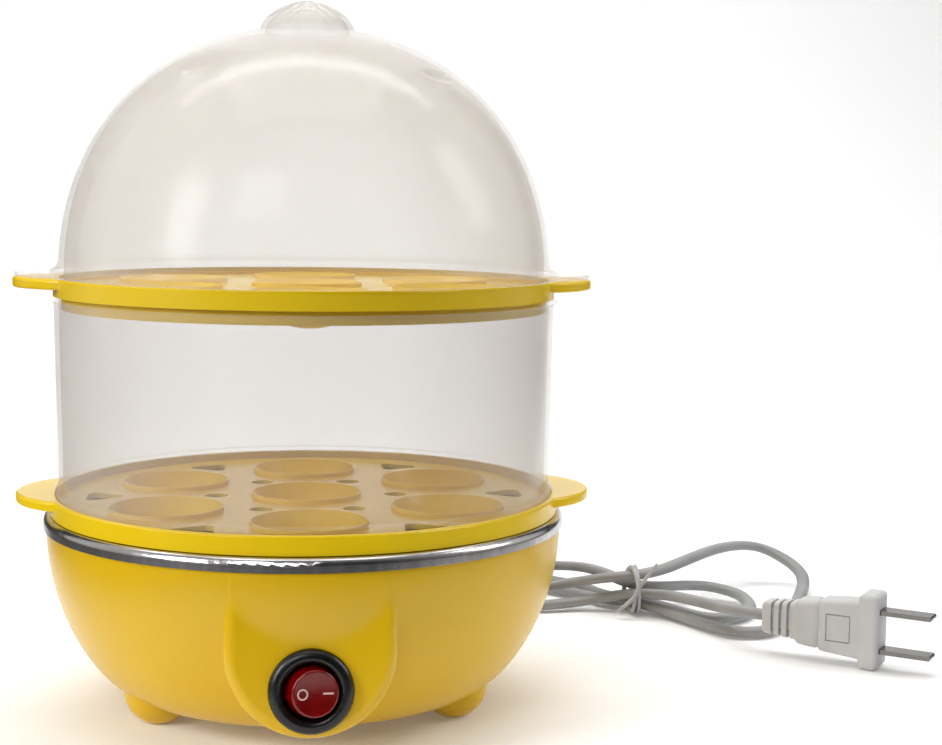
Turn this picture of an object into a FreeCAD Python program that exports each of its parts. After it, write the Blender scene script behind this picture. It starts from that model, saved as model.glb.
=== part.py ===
import FreeCAD, Part
import math
import os

V = FreeCAD.Vector

# Two-tier egg cooker. Millimetres, +Z up, the front (switch) faces -Y.
# The origin is on the axis of the bowl, on the surface that the cooker stands on.

# ---- Driving dimensions ----
bowl_radius = 75.4          # outside of the bowl at its top edge
bowl_top = 53.4             # height of the shoulder that carries the steel rim
bowl_underside = 5.5        # height of the flat underside
underside_radius = 49.7     # where the underside turns up into the side
side_pull = 25.4            # how far down the side stays upright
heel_pull = 10.8            # how far out the heel of the bowl runs flat
shell_wall = 2.4
foot_count = 3
foot_ring = underside_radius - 1.2    # circle that the ball feet stand on
foot_ball = 9.8             # radius of each ball
foot_flat = 0.6             # how much of the ball the resting flat takes away
apron_radius = 22.5         # half the width of the U-shaped switch apron
apron_rise = 9.8           # centre of the U above the switch axis
apron_edge = 3.0            # rounding of the apron's front edge
apron_blend = 0.9           # softness of the hollow where the apron runs out into the bowl
apron_lift = 0.12           # how far the run-out stays in front of the bowl
face_forward = bowl_radius - 1.1      # switch face in front of the axis
face_height = 22.4          # switch axis above the table
face_tilt = 5.0             # degrees that the switch face looks up

# Stainless heating dish
dish_sheet = 0.8
rim_proud = 0.8             # rolled rim beyond the bowl
rim_height = 4.1
rim_roll = 2.1              # radius of the rolled top
dish_depth = 18.5           # from the top of the rolled rim to the dish floor
dish_floor = bowl_top + rim_height - dish_depth
dish_corner = 13.0
dish_step_radius = 40.0
dish_step = 1.0

# Egg trays
lower_tray_radius = bowl_radius - 1.0
upper_tray_radius = lower_tray_radius - 1.7
tray_wall = 1.4
tray_band = 5.2             # height of the visible band
tray_sheet = 1.5
tray_floor_up = 2.8         # top of the tray floor above the band's lower edge
tray_skirt = 3.8            # skirt below the band
skirt_clearance = 0.8
cup_mouth = 15.0            # radius of each egg cup at the tray floor
cup_depth = 7.8
cup_ring = upper_tray_radius - 26.7
cup_count = 6               # cups on the ring, with one more in the middle
cup_lip = 1.2
cup_drain = 3.0
vent_ring = cup_ring + 14.0
vent_size = 8.4             # corner radius of the three-sided steam openings
inner_vent_ring = cup_ring - 19.5
inner_vent_radius = 3.4
ear_tip = lower_tray_radius + 10.0    # reach of the ears from the axis
ear_radius = 26.2
ear_sheet = 3.0
seat_gap = 0.2              # between stacked pieces
nest_gap = 0.3              # between a piece and the one that it wraps

# Middle housing and lid
housing_bottom_radius = lower_tray_radius - 2.6
housing_top_radius = upper_tray_radius - 0.1
housing_wall = 1.4
housing_height = 59.2       # from the lower tray's floor to the shoulder under the upper tray
bead_proud = 0.9
bead_height = 2.3
collar_wall = 1.0
lid_wall = 1.6
lid_flange = upper_tray_radius + 0.9
lid_foot_radius = upper_tray_radius - 1.5
lid_height = 72.4           # dome above the rim of the upper tray
lid_side_pull = 38.6        # how far up the dome stays upright
lid_top_pull = 42.6         # how far out its top runs flat
lid_lean = 1.4
lid_upstand = 3.4           # upright part above the flange
lid_skirt = 1.4
knob_radius = 13.9
knob_height = 7.4
knob_petals = 6
dimple_at = 0.567           # place of the dimples along the dome, from its side to its top
dimple_length = 14.0
dimple_width = 7.0
dimple_depth = 1.05

# Rocker switch, in its own frame: z out of the face, y up along it
switch_body_radius = 9.9
bezel_radius = switch_body_radius + 1.25
bezel_height = 2.3
switch_body_depth = 15.0
panel_clearance = 0.2
rocker_pivot = 2.5          # pivot behind the face
rocker_face = 6.5           # cap face in front of the pivot
rocker_base = 7.15          # radius of the cap at its pivot
switch_opening = rocker_base + 0.35
rocker_taper = 0.16
rocker_throw = 10.0         # degrees each side of level
trunnion_radius = 1.0
trunnion_fit = 0.05
bridge_depth = 11.3         # see-saw contact behind the face
bridge_throw = 5.0

# Mains cord and its plug
cord_width = 4.8
cord_exit_height = 19.0
pad_radius = 10.0
pad_forward = bowl_radius - 3.9       # rear pad behind the axis
boot_length = 26.0
plug_heading = -36.0
plug_beside = 152.4         # tail of the plug to the right of the axis
plug_before = 63.0          # and in front of the end of the cord boot
plug_height = 12.4
blade_pitch = 12.7
blade_length = 16.5

os.makedirs("parts", exist_ok=True)


# ---- Helpers ----
def save(name, shapes):
    """Write one node: a solid, or a group of separate solids."""
    group = shapes if isinstance(shapes, list) else [shapes]
    solids = [s for shape in group for s in shape.Solids]
    shape = solids[0] if len(solids) == 1 else Part.makeCompound(solids)
    shape.exportStep("parts/" + name + ".step")
    print(name, len(solids), "solid(s)", round(sum(s.Volume for s in solids)), "mm3")


def rz(r, z):
    return V(r, 0, z)


def outline(start, steps):
    """Closed wire in the XZ plane: (r, z) is a line, two pairs an arc, three pairs a curve."""
    edges = []
    here = rz(*start)
    for step in steps:
        points = [rz(*p) for p in (step if isinstance(step[0], tuple) else (step,))]
        if len(points) == 1:
            edges.append(Part.LineSegment(here, points[0]).toShape())
        elif len(points) == 2:
            edges.append(Part.Arc(here, points[0], points[1]).toShape())
        else:
            curve = Part.BezierCurve()
            curve.setPoles([here] + points)
            edges.append(curve.toShape())
        here = points[-1]
    if here.distanceToPoint(rz(*start)) > 1e-6:
        edges.append(Part.LineSegment(here, rz(*start)).toShape())
    return Part.Wire(edges)


def turned(start, steps):
    """Solid of revolution about Z."""
    face = Part.Face(outline(start, steps))
    return face.revolve(V(0, 0, 0), V(0, 0, 1), 360)


def ring(r_in, r_out, z_low, z_high):
    outer = Part.makeCylinder(r_out, z_high - z_low, V(0, 0, z_low))
    return outer.cut(Part.makeCylinder(r_in, z_high - z_low, V(0, 0, z_low))) if r_in else outer


def rod(radius, start, end):
    return Part.makeCylinder(radius, (end - start).Length, start, end - start)


def slab(points, z_low, z_high, rounding=0.0):
    """Upright prism on a polygon, with its upright edges rounded."""
    corners = [V(x, y, z_low) for x, y in points]
    prism = Part.Face(Part.makePolygon(corners + corners[:1])).extrude(V(0, 0, z_high - z_low))
    if rounding:
        upright = [e for e in prism.Edges if abs(e.tangentAt(e.FirstParameter).z) > 0.99]
        prism = prism.makeFillet(rounding, upright)
    return prism


def polar(radius, degrees, z=0.0):
    angle = math.radians(degrees)
    return V(radius * math.cos(angle), radius * math.sin(angle), z)


def arc_mid(centre, radius, degrees):
    angle = math.radians(degrees)
    return (centre[0] + radius * math.cos(angle), centre[1] + radius * math.sin(angle))


def fused(shapes):
    whole = shapes[0]
    for shape in shapes[1:]:
        whole = whole.fuse(shape)
    return whole.removeSplitter()


def cut_all(shape, tools):
    for tool in tools:
        shape = shape.cut(tool)
    return shape


def tube(name, points, radius):
    """Straight runs joined by the largest tangent arcs that the runs allow."""
    corners = [V(*p) for p in points]
    edges = []
    here = corners[0]
    radii = []
    for before, corner, after in zip(corners, corners[1:], corners[2:]):
        back = before - corner
        ahead = after - corner
        turn = math.pi - back.getAngle(ahead)
        reach = 0.45 * min(back.Length, ahead.Length)
        radii.append(reach / math.tan(turn / 2))
        back.normalize()
        ahead.normalize()
        enter = corner + back * reach
        leave = corner + ahead * reach
        bisector = back + ahead
        bisector.normalize()
        apex = corner + bisector * (radii[-1] / math.cos(turn / 2) - radii[-1])
        edges.append(Part.LineSegment(here, enter).toShape())
        edges.append(Part.Arc(enter, apex, leave).toShape())
        here = leave
    edges.append(Part.LineSegment(here, corners[-1]).toShape())
    path = Part.Wire(edges)
    section = Part.Wire(Part.Circle(corners[0], corners[1] - corners[0], radius).toShape())
    solid = path.makePipeShell([section], True, False)
    expected = math.pi * radius ** 2 * path.Length
    print(name, "length", round(path.Length, 1), "radii", [round(r, 1) for r in radii],
          "volume share", round(solid.Volume / expected, 4))
    return solid


# ---- Base: bowl, feet, apron, rear pad, screw posts ----
def bowl_solid(inset):
    """Bowl body, shrunk by the wall for its inside."""
    top = bowl_top
    low = bowl_underside + inset
    rim = bowl_radius - inset
    flat = underside_radius - inset
    return turned((0, low), [(flat, low),
                             ((flat + heel_pull, low), (rim, top - side_pull), (rim, top)),
                             (0, top)])


foot_angles = [90 + 360 / foot_count * i for i in range(foot_count)]
foot_centre = foot_ball - foot_flat
post_ring = underside_radius - 6.7
post_radius = 3.6
post_bore = 1.7
post_head = 3.2
post_seat = 1.6
post_top = dish_floor - 7.0
post_angles = [a + 180 / foot_count for a in foot_angles]
cover_radius = 34.0
cover_thick = 2.0
cover_opening = cover_radius - 5.0
cover_gap = 0.3
ledge_thick = 2.3
cover_screw_ring = cover_radius - 2.5
cover_boss_radius = 3.2
cover_boss_height = 6.5
cover_pilot = 1.5
cover_screw_radius = 1.45
cover_screw_head = 2.7
tongue_inner = 0.2
tongue_height = 2.2


face_place = FreeCAD.Placement(V(0, -face_forward, face_height),
                               FreeCAD.Rotation(V(1, 0, 0), 90 - face_tilt))


def to_face(shape):
    """From the switch's own frame to its place on the apron."""
    placed = shape.copy()
    placed.Placement = face_place.multiply(shape.Placement)
    return placed


def bowl_radius_at(height):
    """Outside radius of the bowl's side at a height, by halving along its curve."""
    low = 0.0
    high = 1.0
    for _ in range(40):
        t = (low + high) / 2
        up = [(1 - t) ** 3, 3 * t * (1 - t) ** 2, 3 * t * t * (1 - t), t ** 3]
        if up[0] * bowl_underside + up[1] * bowl_underside + up[2] * (bowl_top - side_pull) + up[3] * bowl_top < height:
            low = t
        else:
            high = t
    return up[0] * underside_radius + up[1] * (underside_radius + heel_pull) + (up[2] + up[3]) * bowl_radius


def bowl_ahead(x, y):
    """How far the bowl stands in front of the switch face, seen from the switch."""
    ahead = 0.0
    for _ in range(12):
        place = face_place.multVec(V(x, y, ahead))
        radius = bowl_radius_at(min(place.z, bowl_top))
        ahead += place.y + math.sqrt(radius ** 2 - x ** 2)
    return ahead


def apron_front(low, high):
    """Front of the apron in the switch's frame: flat round the switch, then out to the bowl."""
    columns = 8
    row_pitch = 1.7
    rows = round((high - low) / row_pitch)
    grid = []
    for j in range(rows + 1):
        y = low + (high - low) * j / rows
        line = []
        for i in range(columns + 1):
            x = (apron_radius + 2) * (2 * i / columns - 1)
            ahead = bowl_ahead(x, y) + apron_lift if y > switch_opening else -apron_blend
            if ahead < apron_blend:
                ahead = max(ahead + apron_blend, 0) ** 2 / (4 * apron_blend)
            line.append(V(x, y, ahead))
        grid.append(line)
    surface = Part.BSplineSurface()
    surface.interpolate(grid)
    return surface.toShape()


def apron_prism(half, head, front):
    """U-shaped prism in the switch's frame, from its front back into the bowl."""
    left = V(-half, apron_rise, front)
    right = V(half, apron_rise, front)
    bottom = V(0, apron_rise - half, front)
    top_left = V(-half, head, front)
    top_right = V(half, head, front)
    wire = Part.Wire([Part.LineSegment(top_left, left).toShape(), Part.Arc(left, bottom, right).toShape(),
                      Part.LineSegment(right, top_right).toShape(), Part.LineSegment(top_right, top_left).toShape()])
    return Part.Face(wire).extrude(V(0, 0, -face_forward / 2))


def apron_solid(inset):
    """The apron in its place; inset gives its inside, which stays flat."""
    head = bowl_top - face_height + 6
    ceiling = Part.makeCylinder(bowl_radius + 20, bowl_top)
    if inset:
        pad = apron_prism(apron_radius - inset, head, -inset)
        front = -inset
    else:
        pad = apron_prism(apron_radius, head, 10)
        ahead_of_it = apron_front(apron_rise - apron_radius - 2, head + 2).extrude(V(0, 0, 20))
        pad = pad.cut(ahead_of_it)
        front = 0
    edges = [e for e in pad.Edges if e.BoundBox.ZMin > front - 0.05 and e.BoundBox.YMin < head - 1]
    pad = pad.makeFillet(max(apron_edge - inset, 0.4), edges)
    return to_face(pad).common(ceiling)


def foot_balls(inset):
    balls = []
    for angle in foot_angles:
        ball = Part.makeSphere(foot_ball - inset, polar(foot_ring, angle, foot_centre))
        balls.append(ball.cut(Part.makeBox(400, 400, 50, V(-200, -200, inset - 50))))
    return balls


def rear_pad(inset):
    depth = pad_forward - inset - bowl_radius / 2
    return Part.makeCylinder(pad_radius - inset, depth, V(0, bowl_radius / 2, cord_exit_height), V(0, 1, 0))


def base_shell():
    outside = fused([bowl_solid(0), apron_solid(0), rear_pad(0)] + foot_balls(0))
    inside = fused([bowl_solid(shell_wall), apron_solid(shell_wall), rear_pad(shell_wall)]
                   + foot_balls(shell_wall))
    shell = outside.cut(inside)
    tongue_low = bowl_top - shell_wall
    tongue_in = bowl_radius - shell_wall + tongue_inner
    tongue_out = bowl_radius + rim_proud - rim_roll / 2 - tongue_inner * 1.5
    shell = shell.fuse(ring(tongue_in, tongue_out, tongue_low, bowl_top + tongue_height))
    floor_top = bowl_underside + shell_wall
    seat = bowl_underside + cover_thick + cover_gap / 2
    shell = shell.fuse(ring(cover_opening, cover_radius + shell_wall, floor_top - 1, seat + ledge_thick))
    for angle in post_angles:
        foot = polar(post_ring, angle, floor_top - 1)
        shell = shell.fuse(rod(post_radius, foot, polar(post_ring, angle, post_top)))
        foot = polar(cover_screw_ring, angle, seat + ledge_thick - 1)
        shell = shell.fuse(rod(cover_boss_radius, foot, foot + V(0, 0, cover_boss_height)))
    shell = shell.cut(ring(0, cover_opening, bowl_underside - 1, floor_top + 20))
    shell = shell.cut(ring(0, cover_radius + cover_gap, bowl_underside - 1, seat))
    for angle in post_angles:
        foot = polar(post_ring, angle, bowl_underside - 1)
        shell = shell.cut(rod(post_bore, foot, polar(post_ring, angle, post_top + 1)))
        shell = shell.cut(rod(post_head + 0.2, foot, polar(post_ring, angle, bowl_underside + post_seat)))
        foot = polar(cover_screw_ring, angle, seat - 1)
        top = polar(cover_screw_ring, angle, seat + ledge_thick + cover_boss_height)
        shell = shell.cut(rod(cover_pilot, foot, top))
    depth = switch_body_depth + 1
    hole = Part.makeCylinder(switch_body_radius + panel_clearance, depth + 10, V(0, 0, -depth))
    shell = shell.cut(to_face(hole))
    cord_hole = rod(bushing_radius + panel_clearance, V(0, bowl_radius / 2, cord_exit_height),
                    V(0, pad_forward + 1, cord_exit_height))
    return shell.cut(cord_hole).removeSplitter()


bushing_radius = 5.6
bushing_flange = 8.0
bushing_flange_thick = 2.2


def bottom_cover():
    low = bowl_underside
    disc = ring(0, cover_radius, low, low + cover_thick)
    rim_edges = [e for e in disc.Edges if e.BoundBox.ZMax < low + 0.01 and e.Length > cover_radius]
    disc = disc.makeFillet(0.5, rim_edges)
    slots = []
    slot_width = 2.2
    for i in range(-3, 4):
        half = 17 - 1.4 * abs(i)
        slot = Part.makeBox(2 * half, slot_width, cover_thick + 2, V(-half, 5.2 * i - slot_width / 2, low - 1))
        slots.append(slot)
    for angle in post_angles:
        foot = polar(cover_screw_ring, angle, low - 1)
        slots.append(rod(cover_pilot + 0.3, foot, foot + V(0, 0, cover_thick + 2)))
    return cut_all(disc, slots)


def screw(head_radius, head_height, shank_radius, top, seat):
    """Pan-head screw with a crossed recess, its head under the seat."""
    shank = ring(0, shank_radius, seat, top)
    head = ring(0, head_radius, seat - head_height, seat)
    edges = [e for e in head.Edges if e.BoundBox.ZMax < seat - head_height + 0.01 and e.Length > head_radius]
    head = head.makeFillet(head_height * 0.45, edges)
    body = head.fuse(shank)
    for turn in (0, 90):
        blade = Part.makeBox(head_radius * 1.2, 0.7, head_height * 0.6,
                             V(-head_radius * 0.6, -0.35, seat - head_height))
        blade.rotate(V(0, 0, 0), V(0, 0, 1), turn)
        body = body.cut(blade)
    return body


def placed_copies(shape, radius, angles):
    copies = []
    for angle in angles:
        one = shape.copy()
        one.translate(polar(radius, angle))
        copies.append(one)
    return copies


def cover_screws():
    seat = bowl_underside
    top = seat + cover_thick + ledge_thick + cover_boss_height - 1.5
    return placed_copies(screw(cover_screw_head, 1.7, cover_screw_radius, top, seat),
                         cover_screw_ring, post_angles)


# ---- Heating dish and what hangs under it ----
rim_out = bowl_radius + rim_proud
rim_in = rim_out - 2 * rim_roll
rim_top = bowl_top + rim_height
roll_centre = (rim_out - rim_roll, rim_top - rim_roll)


def heating_dish():
    leg_bottom = bowl_top + seat_gap
    wall_low = dish_floor + dish_corner
    floor_r = rim_in - dish_corner
    t = dish_sheet
    corner = (floor_r, wall_low)
    inner_roll = rim_roll - t - 0.1
    roll_in = rim_in + t
    roll_mid = (roll_in + inner_roll, roll_centre[1])
    steps = [(dish_step_radius, dish_floor + dish_step),
             (dish_step_radius + 1.5 * dish_step, dish_floor),
             (floor_r, dish_floor),
             (arc_mid(corner, dish_corner, -45), (rim_in, wall_low)),
             (rim_in, roll_centre[1]),
             (arc_mid(roll_centre, rim_roll, 90), (rim_out, roll_centre[1])),
             (rim_out, leg_bottom),
             (roll_in + 2 * inner_roll, leg_bottom),
             (roll_in + 2 * inner_roll, roll_centre[1]),
             (arc_mid(roll_mid, inner_roll, 90), (roll_in, roll_centre[1])),
             (roll_in, wall_low),
             (arc_mid(corner, dish_corner + t, -45), (floor_r, dish_floor - t)),
             (dish_step_radius + 1.5 * dish_step, dish_floor - t),
             (dish_step_radius, dish_floor + dish_step - t),
             (0, dish_floor + dish_step - t)]
    return turned((0, dish_floor + dish_step), steps)


bracket_sheet = 1.2
bracket_width = 10.0
dish_under = dish_floor - dish_sheet
pad_under = dish_floor + dish_step - dish_sheet
spreader_radius = 36.0
spreader_thick = 1.5
spreader_under = pad_under - spreader_thick
element_ring = 29.5
element_radius = 3.2
element_z = spreader_under - element_radius
element_gap = 60.0
pin_radius = 1.2
thermostat_radius = 8.0


def dish_brackets():
    """Z-shaped straps: welded under the dish, standing on the posts of the base."""
    low = post_top
    inner = post_ring - 4.5
    step_at = post_ring + 4.0
    outer = step_at + 8.0
    half = bracket_width / 2
    foot = Part.makeBox(step_at - inner, bracket_width, bracket_sheet, V(inner, -half, low))
    leg = Part.makeBox(bracket_sheet, bracket_width, dish_under - low, V(step_at - bracket_sheet, -half, low))
    top = Part.makeBox(outer - step_at + bracket_sheet, bracket_width, bracket_sheet,
                       V(step_at - bracket_sheet, -half, dish_under - bracket_sheet))
    strap = fused([foot, leg, top]).cut(rod(dish_screw_radius + 0.1, V(post_ring, 0, low - 1),
                                            V(post_ring, 0, low + 3)))
    straps = []
    for angle in post_angles:
        one = strap.copy()
        one.rotate(V(0, 0, 0), V(0, 0, 1), angle)
        straps.append(one)
    return straps


dish_screw_radius = 1.5


def dish_screws():
    seat = bowl_underside + post_seat
    top = post_top + bracket_sheet + 1.5
    return placed_copies(screw(post_head, 1.6, dish_screw_radius, top, seat), post_ring, post_angles)


def heating_element():
    """Tubular ring with its two ends turned down; the gap is at the back."""
    sweep = 360 - element_gap
    torus = Part.makeTorus(element_ring, element_radius, V(0, 0, 0), V(0, 0, 1), -180, 180, sweep)
    torus.rotate(V(0, 0, 0), V(0, 0, 1), 90 + element_gap / 2)
    torus.translate(V(0, 0, element_z))
    ends = []
    for side in (-1, 1):
        top = polar(element_ring, 90 + side * element_gap / 2, element_z)
        ends.append(Part.makeSphere(element_radius, top))
        ends.append(rod(element_radius, top, top - V(0, 0, 5)))
    return fused([torus] + ends)


def element_pins():
    pins = []
    for side in (-1, 1):
        top = polar(element_ring, 90 + side * element_gap / 2, element_z - 5)
        pins.append(rod(pin_radius, top, top - V(0, 0, 6)).fuse(rod(2.4, top, top - V(0, 0, 1.5))))
    return pins


cap_height = 4.5
body_height = 5.0


def thermostat():
    top = spreader_under
    cap = ring(0, thermostat_radius, top - cap_height, top)
    edges = [e for e in cap.Edges if e.BoundBox.ZMin > top - 0.01 and e.Length > thermostat_radius]
    cap = cap.makeFillet(0.8, edges)
    return cap.fuse(ring(0, thermostat_radius - 1, top - cap_height - body_height, top - cap_height))


def thermostat_tabs():
    z = spreader_under - cap_height - body_height + 1.2
    reach = thermostat_radius - 1
    tabs = []
    for side in (-1, 1):
        flat = Part.makeBox(9, 4.8, 0.8, V(reach if side > 0 else -reach - 9, -2.4, z))
        tabs.append(flat.cut(rod(0.8, V(side * (reach + 5.5), 0, z - 1), V(side * (reach + 5.5), 0, z + 2))))
    return tabs


def thermostat_clip():
    """Strap that presses the cap to the spreader: a plate with two legs."""
    top = spreader_under
    low = top - cap_height - 0.9
    half_x = 20.0
    half_y = 9.5
    plate = Part.makeBox(2 * half_x, 2 * half_y, 0.8, V(-half_x, -half_y, low))
    legs = [Part.makeBox(0.8, 12, top - low, V(x, -6, low)) for x in (-half_x, half_x - 0.8)]
    strap = fused([plate] + legs)
    return strap.cut(ring(0, thermostat_radius - 0.7, low - 1, low + 2))


fuse_y = 16.5
fuse_z = spreader_under - 3.6


def thermal_fuse():
    body = rod(1.9, V(-5.5, fuse_y, fuse_z), V(5.5, fuse_y, fuse_z))
    lead = rod(0.5, V(-19, fuse_y, fuse_z), V(19, fuse_y, fuse_z))
    return body.fuse(lead)


def fuse_sleeve():
    outer = rod(2.9, V(-15, fuse_y, fuse_z), V(15, fuse_y, fuse_z))
    return outer.cut(rod(2.2, V(-16, fuse_y, fuse_z), V(16, fuse_y, fuse_z)))


# ---- Rocker switch ----
def switch_housing():
    body = switch_body_radius
    profile = [(bezel_radius, 0),
               (arc_mid((bezel_radius - 2.2, 0.1), 2.2, 45), (bezel_radius - 2.2, bezel_height)),
               ((switch_opening + 0.75, bezel_height - 0.15), (switch_opening, bezel_height - 0.9)),
               (switch_opening, -7.0), (0, -7.0), (0, -switch_body_depth), (body, -switch_body_depth)]
    housing = turned((body, 0), profile)
    chamber = Part.makeBox(12.4, 8.4, 6, V(-6.2, -4.2, -12.6))
    housing = housing.cut(chamber)
    for side in (-1, 1):
        wing = slab([(0, -1.8), (0.9, -1.8), (0.9, 1.8), (0, 1.8)], -6.4, -shell_wall - 0.3)
        wing.translate(V(body - 0.1, 0, 0))
        if side < 0:
            wing.rotate(V(0, 0, 0), V(0, 0, 1), 180)
        housing = housing.fuse(wing)
        pocket = rod(trunnion_radius + trunnion_fit, V(0, 0, -rocker_pivot),
                     V(0, side * (body - 1.0), -rocker_pivot))
        housing = housing.cut(pocket)
    for x in terminal_places:
        housing = housing.cut(Part.makeBox(1.0, 5.0, 6, V(x - 0.5, -2.5, -switch_body_depth - 1)))
    return to_face(housing.removeSplitter())


terminal_places = (-5.0, 0.0, 5.0)


def switch_terminals():
    blades = []
    tops = (0.55, 0.9, 0.0)
    for x, rise in zip(terminal_places, tops):
        top = -12.6 + rise
        bottom = -switch_body_depth - 7.5
        blade = Part.makeBox(0.8, 4.8, top - bottom, V(x - 0.4, -2.4, bottom))
        hole = rod(0.9, V(x - 1, 0, bottom + 2.6), V(x + 1, 0, bottom + 2.6))
        blades.append(to_face(blade.cut(hole)))
    return blades


def rocked(shape, degrees):
    """Turned about the rocker's pivot, in the switch's frame."""
    turned_shape = shape.copy()
    turned_shape.rotate(V(0, 0, -rocker_pivot), V(0, 1, 0), degrees)
    return turned_shape


def rocker_cap():
    """Cap, plunger stem and trunnions, level in the switch's frame."""
    pivot = -rocker_pivot
    skirt = 1.6
    face = pivot + rocker_face
    r_low = rocker_base - rocker_taper * skirt
    wall = 1.2
    reach = cap_reach
    halfway = face - face_dish + dish_ball - math.sqrt(dish_ball ** 2 - reach ** 2 / 4)
    steps = [(rocker_base, pivot), (reach + cap_edge + rocker_taper * cap_edge, face - cap_edge),
             (arc_mid((reach, face - cap_edge), cap_edge, 45), (reach, face)),
             ((reach / 2, halfway), (0, face - face_dish)),
             (0, face - 2.0), (reach + cap_edge - wall, face - 1.8), (rocker_base - wall, pivot),
             (r_low - wall, pivot - skirt)]
    cap = turned((r_low, pivot - skirt), steps)
    cap = cap.fuse(ring(plunger_bore, plunger_bore + 0.8, pivot - 6.0, face - 1.7))
    for side in (-1, 1):
        pin = rod(trunnion_radius, V(0, side * (rocker_base - 0.8), pivot),
                  V(0, side * (switch_body_radius - 1.3), pivot))
        cap = cap.fuse(pin)
    return cap


plunger_bore = 1.25
face_dish = 0.55
cap_edge = 0.5
cap_reach = rocker_base - rocker_taper * rocker_face - cap_edge    # radius of the dished face
dish_ball = (cap_reach ** 2 + face_dish ** 2) / (2 * face_dish)
mark_offset = 3.35
mark_thick = 0.12


def rocker():
    return to_face(rocked(rocker_cap(), rocker_throw))


def rocker_marks():
    """Off ring and on bar: a printed layer that follows the dished face."""
    face = -rocker_pivot + rocker_face
    centre = V(0, 0, face - face_dish + dish_ball)
    layer = Part.makeSphere(dish_ball, centre).cut(Part.makeSphere(dish_ball - mark_thick, centre))
    circle = ring(1.05, 1.45, face - 1, face + 1)
    circle.translate(V(-mark_offset, 0, 0))
    bar = Part.makeBox(2.7, 0.45, 2, V(mark_offset - 1.35, -0.225, face - 1))
    return [to_face(rocked(mark.common(layer), rocker_throw)) for mark in (circle, bar)]


def plunger():
    tip = -rocker_pivot - 7.8
    pin = ring(0, plunger_bore - 0.1, tip + 1.0, tip + 4.2)
    ball = Part.makeSphere(plunger_bore - 0.1, V(0, 0, tip + plunger_bore - 0.1))
    return to_face(rocked(pin.fuse(ball), rocker_throw))


def plunger_spring():
    wire = 0.22
    coil = plunger_bore - 0.1 - wire
    bottom = -rocker_pivot - 7.8 + 4.2 + wire + 0.05
    top = -rocker_pivot + rocker_face - 2.0 - wire - 0.1
    turns = 6
    helix = Part.makeHelix((top - bottom) / turns, top - bottom, coil)
    section = Part.Wire(Part.Circle(V(coil, 0, 0), V(0, 1, 0), wire).toShape())
    spring = Part.Wire(helix).makePipeShell([section], True, True)
    spring.translate(V(0, 0, bottom))
    return to_face(rocked(spring, rocker_throw))


def contact_bridge():
    """See-saw strip that joins the middle and left terminals when the rocker is on."""
    strip = Part.makeBox(10.6, 3.6, 0.5, V(-5.3, -1.8, -bridge_depth))
    button = rod(0.9, V(-4.6, 0, -bridge_depth - 0.25), V(-4.6, 0, -bridge_depth + 0.1))
    bridge = strip.fuse(button)
    bridge.rotate(V(0, 0, -bridge_depth), V(0, 1, 0), -bridge_throw)
    return to_face(bridge)


def neon_lamp():
    glass = ring(0, 1.2, -6.9, -2.2).fuse(Part.makeSphere(1.2, V(0, 0, -2.2)))
    glass.translate(V(0, 3.9, 0))
    return to_face(glass)


# ---- Egg trays, middle housing and lid ----
def ear_plate(tip, radius, z_low, z_high, keep_inside):
    """D-shaped ears on +X and -X, from the rim outwards."""
    plates = []
    for side in (-1, 1):
        disc = Part.makeCylinder(radius, z_high - z_low, V(side * (tip - radius), 0, z_low))
        edge = min(0.8, (z_high - z_low) * 0.3)
        disc = disc.makeFillet(edge, [e for e in disc.Edges if e.Length > radius])
        plates.append(disc.cut(ring(0, keep_inside, z_low - 1, z_high + 1)))
    return plates


def cup_places():
    places = [V(0, 0, 0)]
    places += [polar(cup_ring, -90 + 360 / cup_count * i) for i in range(cup_count)]
    return places


def steam_vent(z_low, z_high):
    """Rounded three-sided opening that points at the middle."""
    size = vent_size
    corners = [(vent_ring - size, 0), (vent_ring + size / 2, -size * 0.95), (vent_ring + size / 2, size * 0.95)]
    return slab(corners, z_low, z_high, 2.2)


def tray_levels(base):
    floor_top = base + tray_floor_up
    return base + tray_band, floor_top, floor_top - tray_sheet, base - tray_skirt


def egg_tray(rim_radius, base, skirt_radius):
    rim_z, floor_top, floor_low, skirt_low = tray_levels(base)
    inner = rim_radius - tray_wall
    skirt_in = skirt_radius - tray_wall
    edge = 0.5
    rim_arc = (arc_mid((rim_radius - edge, rim_z - edge), edge, 45), (rim_radius - edge, rim_z))
    tray = turned((0, floor_low), [(skirt_in, floor_low), (skirt_in, skirt_low), (skirt_radius, skirt_low),
                                   (skirt_radius, floor_low), (inner, floor_low), (inner, base),
                                   (rim_radius, base), (rim_radius, rim_z - edge), rim_arc,
                                   (inner, rim_z), (inner, floor_top), (0, floor_top)])
    ball = (cup_mouth ** 2 + cup_depth ** 2) / (2 * cup_depth)
    centre = V(0, 0, floor_top + ball - cup_depth)
    below = Part.makeBox(400, 400, 60, V(-200, -200, floor_top - 60))
    for place in cup_places():
        bowl = Part.makeSphere(ball + tray_wall, centre + place).common(below)
        lip = ring(0, cup_mouth + cup_lip, floor_top - tray_sheet, floor_top + cup_lip)
        lip.translate(place)
        tray = tray.fuse(bowl).fuse(lip)
    for plate in ear_plate(ear_tip, ear_radius, rim_z - ear_sheet, rim_z, inner + 0.2):
        tray = tray.fuse(plate)
    for place in cup_places():
        tray = tray.cut(Part.makeSphere(ball, centre + place))
        drain = ring(0, cup_drain, floor_top - 20, floor_top)
        drain.translate(place)
        tray = tray.cut(drain)
    for i in range(cup_count):
        angle = -90 + 360 / cup_count * (i + 0.5)
        vent = steam_vent(floor_low - 1, floor_top + 1)
        vent.rotate(V(0, 0, 0), V(0, 0, 1), angle)
        inner_vent = ring(0, inner_vent_radius, floor_low - 1, floor_top + 1)
        inner_vent.translate(polar(inner_vent_ring, angle))
        tray = tray.cut(vent).cut(inner_vent)
    return tray.removeSplitter()


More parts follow.
